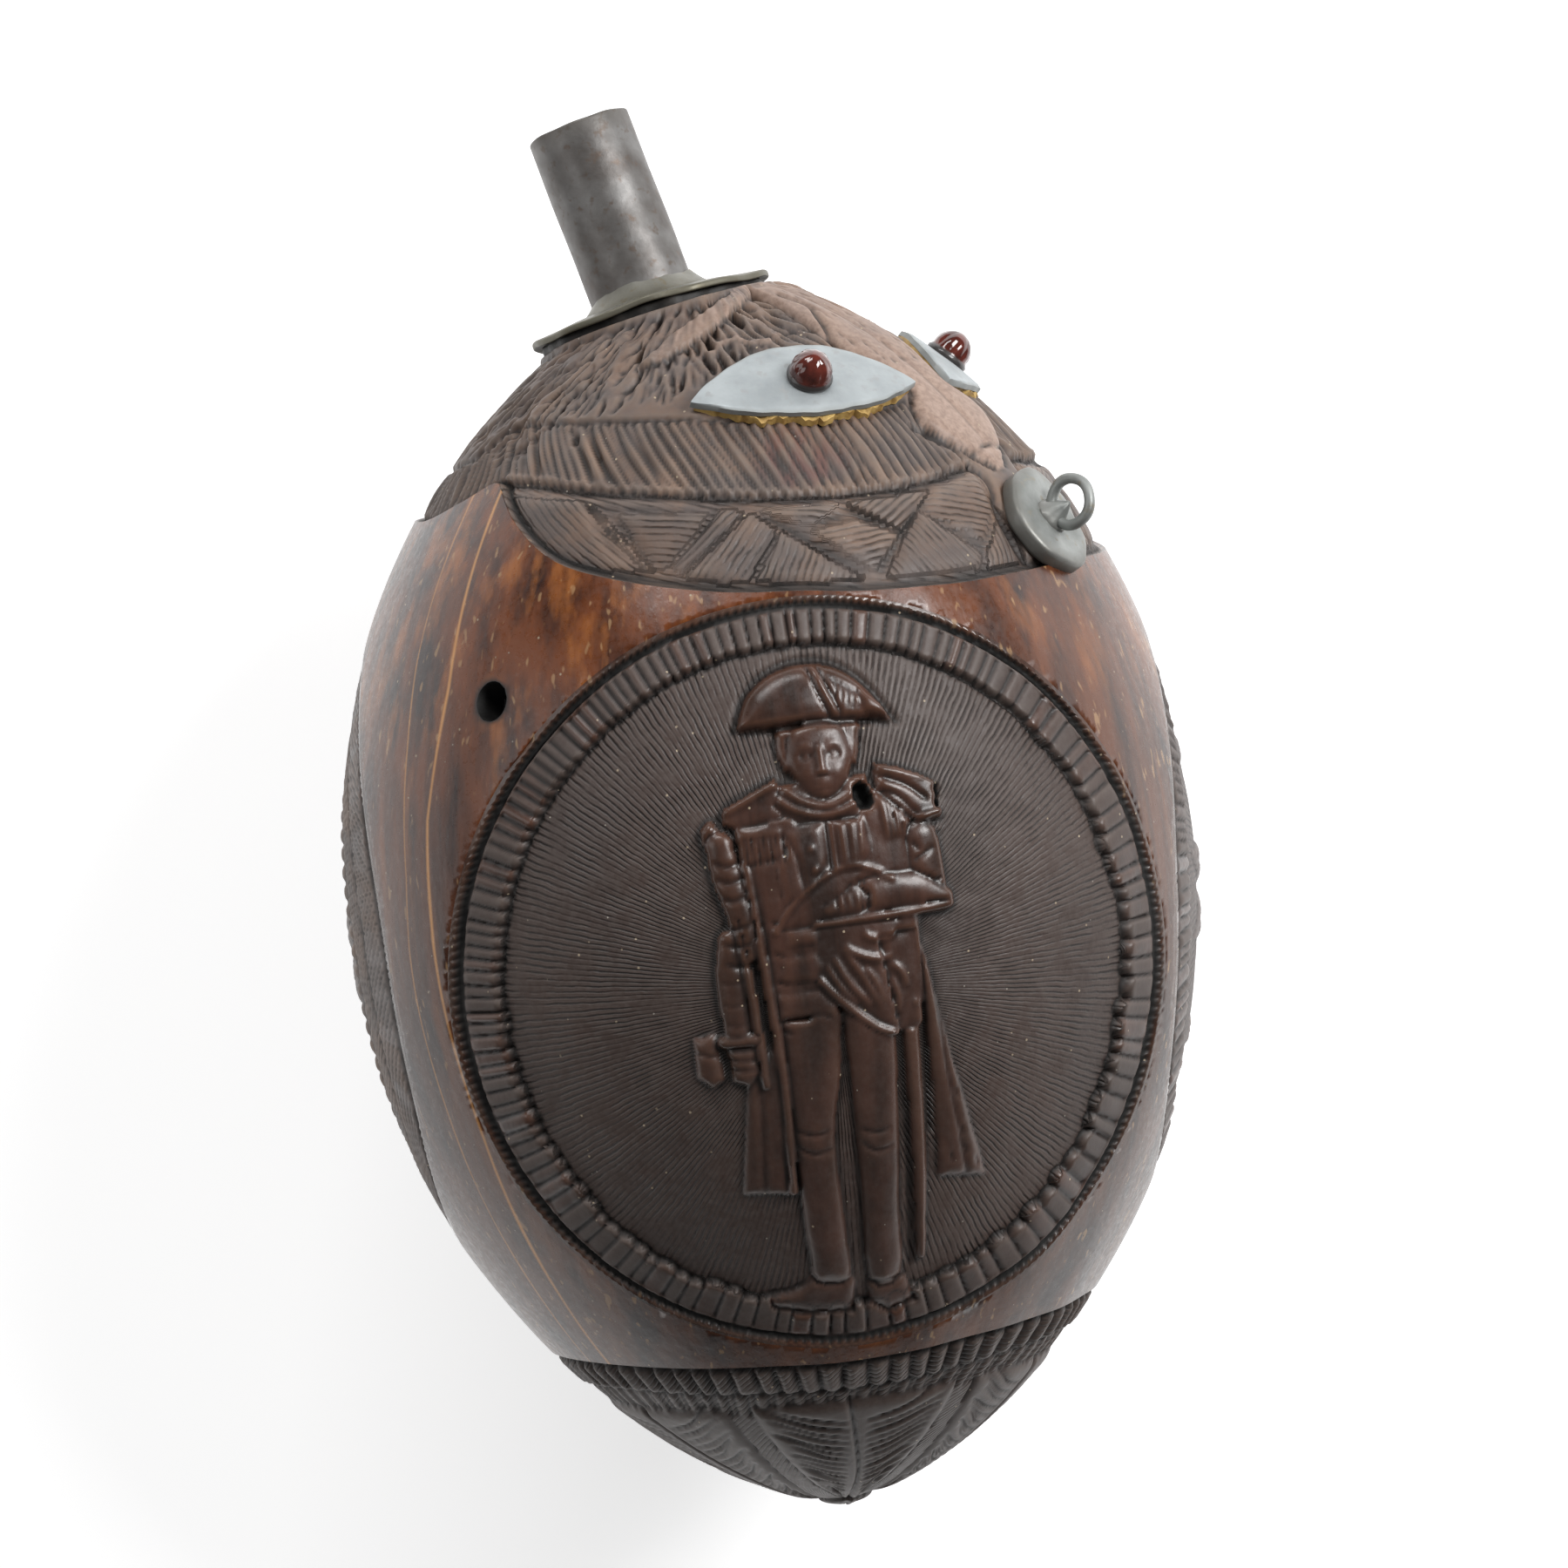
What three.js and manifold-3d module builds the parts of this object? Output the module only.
// Carved coconut flask: a hollow nut with a beast's face at its head end, three carved roundels round its
// waist, a metal spout, two inlaid eyes and a suspension ring. Millimetres, +Z up. The flask lies on its
// back: +Y runs from the pointed tip to the spout, and +Z is up through the front roundel.
import * as THREE from "three";
import { mergeVertices } from "three/addons/utils/BufferGeometryUtils.js";
import Module from "manifold-3d";

const wasm = await Module();
wasm.setup();

// Nut: a body of revolution about Y, with its widest circle at y = 0. Angles are in degrees. Those of places
// on the nut go round Y, from +Z to +X, and places along the head are shares of its length.
const waistRadius = 44.7;
const tipLength = 65.8;
const headLength = 63.4;
const tipFullness = 0.66;
const headFullness = 0.58;
const wall = 3.8;
const restFlatDepth = 0.6;

// Roundels cut into the waist: a rim of notches round a sunk ground. They are a little longer than wide. The
// front one is sunk the most. Each one's place is [its turn, its middle along the nut].
const frontRoundel = [6.2, -6.6];
const sideRoundels = [
  [120, -6],
  [244, -2.5],
];
const roundelHalfWidth = 35.8;
const roundelHalfLength = 37.5;
const rimWidth = 3.3;
const rimDepth = 0.35;
const groundDepth = 1.2;
const sideGroundDepth = 0.7;

// Carved ends: the tip below a circle, and the head above a plane that drops towards the front of the face.
const tipLineY = -0.702 * tipLength;
const tipCutDepth = 0.5;
const faceAngle = 60;
const faceCutDepth = 0.6;
const faceLineY = 0.618 * headLength;
const faceLineSlope = 0.225;
// The nose is left standing in the face: half widths, each at a share of the head's length.
const noseSides = [
  [2.6, 0.637],
  [2.9, 0.694],
  [4.2, 0.751],
  [3.1, 0.804],
  [4.3, 0.861],
  [4.8, 0.905],
  [3.4, 0.965],
];

// Spout: a tube soldered into a domed collar, which is bedded in pitch on a flat filed on the nut's end.
const seatOffset = 0.1387 * waistRadius;
const seatY = 0.929 * headLength;
const seatTilt = 12.7;
const tubeTilt = 16.7;
const tubeRadius = 5.4;
const tubeWall = 0.9;
const tubeStandOut = 21.6;
const tubeReachInside = 1;
const collarRadius = 12.75;
const collarThickness = 0.7;
const collarCrown = 1.2;
const pitchThickness = 0.3;
const pitchInset = 1.1;
const solderWidth = 1.7;
const solderHeight = 1.4;

// Eyes: almond plates on a bed of resin, each with a domed bead on a peg.
const eyeAngle = 36.75;
const eyeY = 0.814 * headLength;
const eyeHalfLength = 12.4;
const eyeHalfHeight = 5.3;
const eyePlateThickness = 0.7;
const resinThickness = 0.3;
const resinMargin = 0.4;
const beadRadius = 2.4;
const beadHeight = 3.7;
const beadOffset = 0.4;
const pegRadius = 0.9;
const pegDepth = 2.6;

// Suspension ring: a hoop soldered to a shank that goes through a round plate and the nut's wall.
const ringY = 0.555 * headLength;
const hoopRadius = 2.35;
const hoopWire = 0.53;
const hoopAngle = 15;
const ringPlateRadius = 5.6;
const ringPlateThickness = 1.1;
const ringPlateEdge = 0.3;
const shankRadius = 0.75;
const shankReachInside = 1.2;
const coneRadius = 1.5;
const coneHeight = 2.3;

// Holes through the wall.
const sideHoleRadius = 1.95;
const sideHoleAngle = -38.7;
const sideHoleY = 0.382 * headLength;
const breakHoleRadius = 1;
const breakHoleAt = [4.35, 18.3];

// Clearance between fixed pieces that touch.
const gap = 0.25;

// The figure in the front roundel, an officer in a cocked hat, left standing in the ground. Its outline is
// a row of places [across, along] from its centre on a roundel of this half length, and grows with it.
const figureAngle = 7.5;
const figureY = frontRoundel[1] - 0.4;
const figureScale = roundelHalfLength / 37.5;
const hatOutline = [
  [-7.2, 26.2],
  [-5.7, 29.6],
  [-2, 31.8],
  [2, 31.9],
  [6, 29.5],
  [8.7, 25.4],
];
const rightOutline = [
  [4.9, 25.4],
  [4.7, 22],
  [11.6, 19.2],
  [12.1, 7.4],
  [11.4, 5.8],
  [8.8, 5.4],
  [9.4, 0],
  [10.6, -8],
  [13.3, -21.6],
  [8.4, -21],
  [7.2, -24],
  [6.6, -29.4],
  [5.4, -29.4],
  [4.2, -24],
  [4, -30.8],
  [5.4, -33.8],
  [2.4, -34.8],
  [0.3, -33.2],
];
const leftOutline = [
  [-0.7, -14],
  [-1.2, -34],
  [-6, -33.8],
  [-9.6, -32.4],
  [-5.4, -29.4],
  [-6.2, -20.8],
  [-11.6, -20.4],
  [-10.2, -9],
  [-15, -8],
  [-15.1, -3.6],
  [-12.2, -3.4],
  [-11.4, 6],
  [-12, 17],
  [-4.4, 21],
  [-3.6, 25.8],
];
const figureOutline = [...hatOutline, ...rightOutline, ...leftOutline];

// A rosette in each side roundel, left standing in the ground: a round with a spray of leaves on each slant.
const rosetteRadius = 10 * figureScale;
const sprayAt = 19.5 * figureScale;
const sprayHalfWidth = 5.5 * figureScale;
const sprayHalfLength = 10.5 * figureScale;
const sprayAngles = [45, 135, 225, 315];

// Facets: the nut's skin is finer than its cavity, and round fittings are finer than pins.
const skinRings = 28;
const skinSides = 48;
const cavityRings = 16;
const cavitySides = 32;
const ovalSides = 60;
const rosetteSides = 16;
const fittingSides = 32;
const pinSides = 12;
const almondPower = 0.9;

const degrees = Math.PI / 180;
const upAxis = new THREE.Vector3(0, 1, 0);

const materials = {
  shell: new THREE.MeshStandardMaterial({ color: 0x3b2118, roughness: 0.4, metalness: 0 }),
  spout: new THREE.MeshStandardMaterial({ color: 0x73736f, roughness: 0.45, metalness: 0.9 }),
  plate: new THREE.MeshStandardMaterial({ color: 0x8e9494, roughness: 0.55, metalness: 0.8 }),
  pitch: new THREE.MeshStandardMaterial({ color: 0x14100e, roughness: 0.8, metalness: 0 }),
  resin: new THREE.MeshStandardMaterial({ color: 0xa8813c, roughness: 0.6, metalness: 0 }),
  bead: new THREE.MeshStandardMaterial({ color: 0x5a150d, roughness: 0.12, metalness: 0 }),
};

function solidOf(geometry) {
  const bare = geometry.clone();
  bare.deleteAttribute("normal");
  bare.deleteAttribute("uv");
  const merged = mergeVertices(bare, 1e-4);
  const mesh = new wasm.Mesh({
    numProp: 3,
    vertProperties: new Float32Array(merged.attributes.position.array),
    triVerts: new Uint32Array(merged.index.array),
  });
  return new wasm.Manifold(mesh);
}

function geometryOf(solid) {
  const mesh = solid.getMesh();
  const geometry = new THREE.BufferGeometry();
  geometry.setAttribute("position", new THREE.BufferAttribute(mesh.vertProperties, 3));
  geometry.setIndex(new THREE.BufferAttribute(mesh.triVerts, 1));
  return geometry;
}

// A lathe about Y from (radius, y) pairs.
function lathe(pairs, sides) {
  const points = pairs.map(([radius, y]) => new THREE.Vector2(radius, y));
  return new THREE.LatheGeometry(points, sides);
}

// Moves a shape made about Y so that its axis runs from a start point along a direction.
function along(geometry, start, direction) {
  const turn = new THREE.Quaternion().setFromUnitVectors(upAxis, direction);
  return geometry.applyQuaternion(turn).translate(start.x, start.y, start.z);
}

function rod(start, direction, radius, length, sides) {
  const geometry = new THREE.CylinderGeometry(radius, radius, length, sides).translate(0, length / 2, 0);
  return solidOf(along(geometry, start, direction));
}

// The half of space beyond a plane, as a large block.
function blockBeyond(point, direction) {
  const size = 4 * waistRadius;
  const block = new THREE.BoxGeometry(size, size, size).translate(0, size / 2, 0);
  return solidOf(along(block, point, direction));
}

// Radius of the nut at y, taken in by an inset.
function nutRadius(y, inset = 0) {
  const length = y < 0 ? tipLength : headLength;
  const fullness = y < 0 ? tipFullness : headFullness;
  const share = Math.max(0, 1 - (y / (length - inset)) ** 2);
  return (waistRadius - inset) * share ** fullness;
}

function nutSolid(inset, rings = skinRings, sides = skinSides) {
  const pairs = [];
  for (let i = 0; i <= rings; i++) {
    const share = -Math.cos((Math.PI * i) / rings);
    const y = share * ((share < 0 ? tipLength : headLength) - inset);
    pairs.push([i === 0 || i === rings ? 0 : nutRadius(y, inset), y]);
  }
  // Half a step of turn puts the middle of a facet underneath.
  return solidOf(lathe(pairs, sides).rotateY(Math.PI / sides));
}

function radial(turn) {
  return new THREE.Vector3(Math.sin(turn * degrees), 0, Math.cos(turn * degrees));
}

// A frame on the nut's surface: its point, outward normal, and directions round and along the nut.
function surfaceFrame(turn, y) {
  const step = 0.01;
  const slope = (nutRadius(y + step) - nutRadius(y - step)) / (2 * step);
  const outward = radial(turn);
  const meridian = new THREE.Vector3(outward.x * slope, 1, outward.z * slope).normalize();
  const round = new THREE.Vector3(outward.z, 0, -outward.x);
  const normal = new THREE.Vector3().crossVectors(round, meridian).normalize();
  const point = outward.multiplyScalar(nutRadius(y)).setY(y);
  return { point, normal, meridian, round };
}

// The place (a, b) across a frame, dropped on the nut along the frame's normal and lifted off it.
function dropOnNut(frame, a, b, lift) {
  const start = frame.point.clone().addScaledVector(frame.round, a).addScaledVector(frame.meridian, b);
  const at = new THREE.Vector3();
  let inside = -waistRadius;
  let outside = waistRadius;
  for (let i = 0; i < 40; i++) {
    const middle = (inside + outside) / 2;
    at.copy(start).addScaledVector(frame.normal, middle);
    if (Math.hypot(at.x, at.z) < nutRadius(at.y)) inside = middle;
    else outside = middle;
  }
  return at.addScaledVector(frame.normal, lift);
}

// The place (across, along) of the front roundel's picture, sunk below the nut's surface.
function pictureSpot([across, up], depth) {
  const centre = radial(figureAngle);
  const side = new THREE.Vector3(centre.z, 0, -centre.x);
  const y = figureY + figureScale * up;
  const aside = figureScale * across;
  const rise = Math.sqrt(nutRadius(y) ** 2 - aside ** 2);
  const outward = side.multiplyScalar(aside).addScaledVector(centre, rise).normalize();
  return outward.multiplyScalar(nutRadius(y) - depth).setY(y);
}

// The skin of the nut inside an oval cutter, down to a depth.
function roundelCut([turn, middleY], inset, depth) {
  const outward = radial(turn);
  const cutter = new THREE.CylinderGeometry(1, 1, waistRadius, ovalSides);
  cutter.scale(roundelHalfWidth - inset, 1, roundelHalfLength - inset);
  cutter.translate(0, waistRadius / 2 + wall, 0);
  const side = new THREE.Vector3(outward.z, 0, -outward.x);
  cutter.applyMatrix4(new THREE.Matrix4().makeBasis(side, outward, upAxis.clone().negate()));
  return solidOf(cutter.translate(0, middleY, 0)).subtract(nutSolid(depth));
}

// A prism over a closed outline of places [across, along], which faces a turn and starts at the nut's axis.
function outlinePrism(outline, turn, middleY) {
  const shape = new THREE.Shape(outline.map(([across, up]) => new THREE.Vector2(across, up)));
  const geometry = new THREE.ExtrudeGeometry(shape, { depth: waistRadius, bevelEnabled: false });
  const outward = radial(turn);
  const side = new THREE.Vector3(outward.z, 0, -outward.x);
  geometry.applyMatrix4(new THREE.Matrix4().makeBasis(side, upAxis, outward));
  return solidOf(geometry.translate(0, middleY, 0));
}

// The outline of an oval whose length leans at an angle from the across direction.
function ovalOutline([acrossAt, upAt], halfLength, halfWidth, angle) {
  const [cosine, sine] = [Math.cos(angle * degrees), Math.sin(angle * degrees)];
  return Array.from({ length: rosetteSides }, (_, i) => {
    const bearing = (2 * Math.PI * i) / rosetteSides;
    const [long, wide] = [halfLength * Math.cos(bearing), halfWidth * Math.sin(bearing)];
    return [acrossAt + long * cosine - wide * sine, upAt + long * sine + wide * cosine];
  });
}

function figureSolid() {
  const outline = figureOutline.map((place) => place.map((size) => size * figureScale));
  return outlinePrism(outline, figureAngle, figureY);
}

function rosetteSolid([turn, middleY]) {
  let body = outlinePrism(ovalOutline([0, 0], rosetteRadius, rosetteRadius, 0), turn, middleY);
  for (const angle of sprayAngles) {
    const at = [sprayAt * Math.cos(angle * degrees), sprayAt * Math.sin(angle * degrees)];
    body = body.add(outlinePrism(ovalOutline(at, sprayHalfLength, sprayHalfWidth, angle), turn, middleY));
  }
  return body;
}

function noseSolid() {
  const right = noseSides.map(([half, share]) => [half, share * headLength]);
  const left = noseSides.map(([half, share]) => [-half, share * headLength]).reverse();
  return outlinePrism([...right, ...left], faceAngle, 0);
}

function headCut() {
  const facing = radial(faceAngle);
  const upwards = facing.multiplyScalar(faceLineSlope).add(upAxis).normalize();
  return blockBeyond(new THREE.Vector3(0, faceLineY, 0), upwards).subtract(nutSolid(faceCutDepth));
}

function tipCut() {
  const downwards = upAxis.clone().negate();
  return blockBeyond(new THREE.Vector3(0, tipLineY, 0), downwards).subtract(nutSolid(tipCutDepth));
}

// The seat on the nut's end, and the tube's axis through it. Both lean away from the face.
const away = radial(faceAngle).negate();
const seatCentre = away.clone().multiplyScalar(seatOffset).setY(seatY);
const seatNormal = upAxis.clone().multiplyScalar(Math.cos(seatTilt * degrees));
seatNormal.addScaledVector(away, Math.sin(seatTilt * degrees));
const tubeAxis = upAxis.clone().multiplyScalar(Math.cos(tubeTilt * degrees));
tubeAxis.addScaledVector(away, Math.sin(tubeTilt * degrees));
const tubeInnerEnd = seatCentre.clone().addScaledVector(tubeAxis, -wall - tubeReachInside);
const tubeLength = wall + tubeReachInside + tubeStandOut;

function tubeClearance() {
  const start = tubeInnerEnd.clone().addScaledVector(tubeAxis, -tubeRadius);
  return rod(start, tubeAxis, tubeRadius + gap, tubeLength + tubeRadius, fittingSides);
}

function eyeFrame(side) {
  const frame = surfaceFrame(faceAngle + side * eyeAngle, eyeY);
  const centre = dropOnNut(frame, 0, beadOffset, 0);
  return { ...frame, centre };
}

function drill(turn, y, radius, sides) {
  const frame = surfaceFrame(turn, y);
  const start = frame.point.clone().addScaledVector(frame.normal, -2 * wall);
  return rod(start, frame.normal, radius, 3 * wall, sides);
}

function shellSolid() {
  let body = nutSolid(0).subtract(headCut().subtract(noseSolid())).subtract(tipCut());
  body = body.subtract(roundelCut(frontRoundel, 0, rimDepth));
  body = body.subtract(roundelCut(frontRoundel, rimWidth, groundDepth).subtract(figureSolid()));
  for (const place of sideRoundels) {
    body = body.subtract(roundelCut(place, 0, rimDepth));
    body = body.subtract(roundelCut(place, rimWidth, sideGroundDepth).subtract(rosetteSolid(place)));
  }
  body = body.subtract(blockBeyond(seatCentre, seatNormal));
  const underside = new THREE.Vector3(0, 0, restFlatDepth - waistRadius);
  body = body.subtract(blockBeyond(underside, new THREE.Vector3(0, 0, -1)));
  const seatInside = seatCentre.clone().addScaledVector(seatNormal, -wall);
  const cavity = nutSolid(wall, cavityRings, cavitySides);
  body = body.subtract(cavity.subtract(blockBeyond(seatInside, seatNormal)));
  body = body.subtract(tubeClearance());
  body = body.subtract(drill(sideHoleAngle, sideHoleY, sideHoleRadius, fittingSides));
  const breakSpot = pictureSpot(breakHoleAt, 0);
  const breakAngle = Math.atan2(breakSpot.x, breakSpot.z) / degrees;
  body = body.subtract(drill(breakAngle, breakSpot.y, breakHoleRadius, pinSides));
  body = body.subtract(drill(faceAngle, ringY, shankRadius + gap, pinSides));
  for (const side of [-1, 1]) {
    const eye = eyeFrame(side);
    const bottom = eye.centre.clone().addScaledVector(eye.normal, -pegDepth - gap);
    body = body.subtract(rod(bottom, eye.normal, pegRadius + gap, 2 * wall, pinSides));
  }
  return body;
}

const flask = new THREE.Group();

function addPiece(name, solid, material) {
  const mesh = new THREE.Mesh(geometryOf(solid), material);
  mesh.name = name;
  flask.add(mesh);
}

// Height of the collar's dome above its rim.
function crownHeight(radius) {
  return collarCrown * (1 - (radius / collarRadius) ** 2);
}

function addSpout() {
  const bore = tubeRadius + gap;
  const clearance = tubeClearance();
  // A domed ring on the seat, between the tube and an outer radius, from its underside to its top.
  const domedRing = (outer, low, high) => {
    const inner = tubeRadius / 2;
    const radii = [0, 0.25, 0.5, 0.75, 1].map((share) => inner + share * (outer - inner));
    const under = radii.map((radius) => [radius, low(radius)]);
    const over = radii.map((radius) => [radius, high(radius)]).reverse();
    const ring = lathe([...under, ...over, under[0]], fittingSides);
    return solidOf(along(ring, seatCentre, seatNormal)).subtract(clearance);
  };
  const collarUnder = (radius) => gap + pitchThickness + gap + crownHeight(radius);
  const collarOver = (radius) => collarUnder(radius) + collarThickness;
  const pitchUnder = () => gap;
  const pitchOver = (radius) => collarUnder(radius) - gap;
  addPiece("spout_pitch_bed", domedRing(collarRadius - pitchInset, pitchUnder, pitchOver), materials.pitch);
  addPiece("spout_collar", domedRing(collarRadius, collarUnder, collarOver), materials.spout);
  const solderUnder = (radius) => collarOver(radius) + gap;
  const solderOver = (radius) => {
    const share = Math.min(1, Math.max(0, (radius - bore) / solderWidth));
    return solderUnder(radius) + gap / 2 + (solderHeight - gap / 2) * (1 - share) ** 2;
  };
  addPiece("spout_solder_ring", domedRing(bore + solderWidth, solderUnder, solderOver), materials.spout);
  const inner = tubeRadius - tubeWall;
  const section = [
    [inner, 0],
    [tubeRadius, 0],
    [tubeRadius, tubeLength],
    [inner, tubeLength],
    [inner, 0],
  ];
  const tube = along(lathe(section, fittingSides), tubeInnerEnd, tubeAxis);
  addPiece("spout_tube", solidOf(tube), materials.spout);
}

// A closed almond-shaped sheet that follows the nut between two lifts off its surface.
function almondSheet(frame, halfLength, halfHeight, lowLift, highLift) {
  const columns = 18;
  const rows = 5;
  const points = [];
  const faces = [];
  const index = (side, i, j) => (side * (columns + 1) + i) * (rows + 1) + j;
  const quad = (p, q, r, s) => faces.push(p, q, r, p, r, s);
  for (const lift of [lowLift, highLift])
    for (let i = 0; i <= columns; i++)
      for (let j = 0; j <= rows; j++) {
        const across = ((2 * i) / columns - 1) * halfLength;
        const half = halfHeight * (1 - (across / halfLength) ** 2) ** almondPower;
        const at = dropOnNut(frame, across, ((2 * j) / rows - 1) * half, lift);
        points.push(at.x, at.y, at.z);
      }
  for (let i = 0; i < columns; i++) {
    for (let j = 0; j < rows; j++) {
      quad(index(1, i, j), index(1, i + 1, j), index(1, i + 1, j + 1), index(1, i, j + 1));
      quad(index(0, i, j + 1), index(0, i + 1, j + 1), index(0, i + 1, j), index(0, i, j));
    }
    quad(index(0, i, 0), index(0, i + 1, 0), index(1, i + 1, 0), index(1, i, 0));
    quad(index(1, i, rows), index(1, i + 1, rows), index(0, i + 1, rows), index(0, i, rows));
  }
  for (let j = 0; j < rows; j++) {
    quad(index(0, 0, j + 1), index(0, 0, j), index(1, 0, j), index(1, 0, j + 1));
    quad(index(0, columns, j), index(0, columns, j + 1), index(1, columns, j + 1), index(1, columns, j));
  }
  const geometry = new THREE.BufferGeometry();
  geometry.setAttribute("position", new THREE.BufferAttribute(new Float32Array(points), 3));
  geometry.setIndex(faces);
  return solidOf(geometry);
}

function addEye(name, side) {
  const eye = eyeFrame(side);
  const holeStart = eye.centre.clone().addScaledVector(eye.normal, -wall);
  const hole = rod(holeStart, eye.normal, pegRadius + gap, 3 * wall, pinSides);
  const resinTop = gap + resinThickness;
  const plateLow = resinTop + gap;
  const plateTop = plateLow + eyePlateThickness;
  const resinLength = eyeHalfLength - resinMargin;
  const resinHeight = eyeHalfHeight + resinMargin;
  const resin = almondSheet(eye, resinLength, resinHeight, gap, resinTop);
  addPiece(`${name}_eye_resin`, resin.subtract(hole), materials.resin);
  const plate = almondSheet(eye, eyeHalfLength, eyeHalfHeight, plateLow, plateTop);
  addPiece(`${name}_eye_plate`, plate.subtract(hole), materials.plate);
  const seat = plateTop + gap;
  const bead = [
    [0, -pegDepth],
    [pegRadius, -pegDepth],
    [pegRadius, seat],
    [beadRadius, seat],
    [beadRadius * 0.97, seat + beadHeight * 0.25],
    [beadRadius * 0.74, seat + beadHeight * 0.62],
    [beadRadius * 0.4, seat + beadHeight * 0.9],
    [0, seat + beadHeight],
  ];
  const beadShape = along(lathe(bead, fittingSides), eye.centre, eye.normal);
  addPiece(`${name}_eye_bead`, solidOf(beadShape), materials.bead);
}

function addRing() {
  const frame = surfaceFrame(faceAngle, ringY);
  const upright = new THREE.Matrix4().makeBasis(frame.round, frame.normal, frame.meridian.clone().negate());
  const place = (geometry) => {
    geometry.applyMatrix4(upright).translate(frame.point.x, frame.point.y, frame.point.z);
    return solidOf(geometry);
  };
  const bore = shankRadius + gap;
  const plateTop = gap + ringPlateThickness;
  const plate = [
    [bore, gap],
    [ringPlateRadius, gap],
    [ringPlateRadius, plateTop - ringPlateEdge],
    [ringPlateRadius - ringPlateEdge, plateTop],
    [bore, plateTop],
    [bore, gap],
  ];
  addPiece("ring_plate", place(lathe(plate, fittingSides)), materials.plate);
  const foot = plateTop + gap;
  const hoop = new THREE.TorusGeometry(hoopRadius, hoopWire, 8, fittingSides);
  hoop.rotateY((90 + hoopAngle) * degrees).translate(0, foot + hoopRadius + hoopWire / 2, 0);
  const cone = [
    [0, foot],
    [coneRadius, foot],
    [0, foot + coneHeight],
  ];
  const shank = [
    [0, -wall - shankReachInside],
    [shankRadius, -wall - shankReachInside],
    [shankRadius, foot + hoopWire],
    [0, foot + hoopWire],
  ];
  const ring = place(hoop).add(place(lathe(cone, pinSides))).add(place(lathe(shank, pinSides)));
  addPiece("suspension_ring", ring, materials.plate);
}

addPiece("coconut_shell", shellSolid(), materials.shell);
addSpout();
addEye("near", -1);
addEye("far", 1);
addRing();

// The frame's origin is on the surface that the flask lies on, under the middle of its box.
const bounds = new THREE.Box3().setFromObject(flask, true);
const middle = bounds.getCenter(new THREE.Vector3());
flask.position.set(-middle.x, -middle.y, -bounds.min.z);
flask.updateMatrixWorld(true);

export default flask;
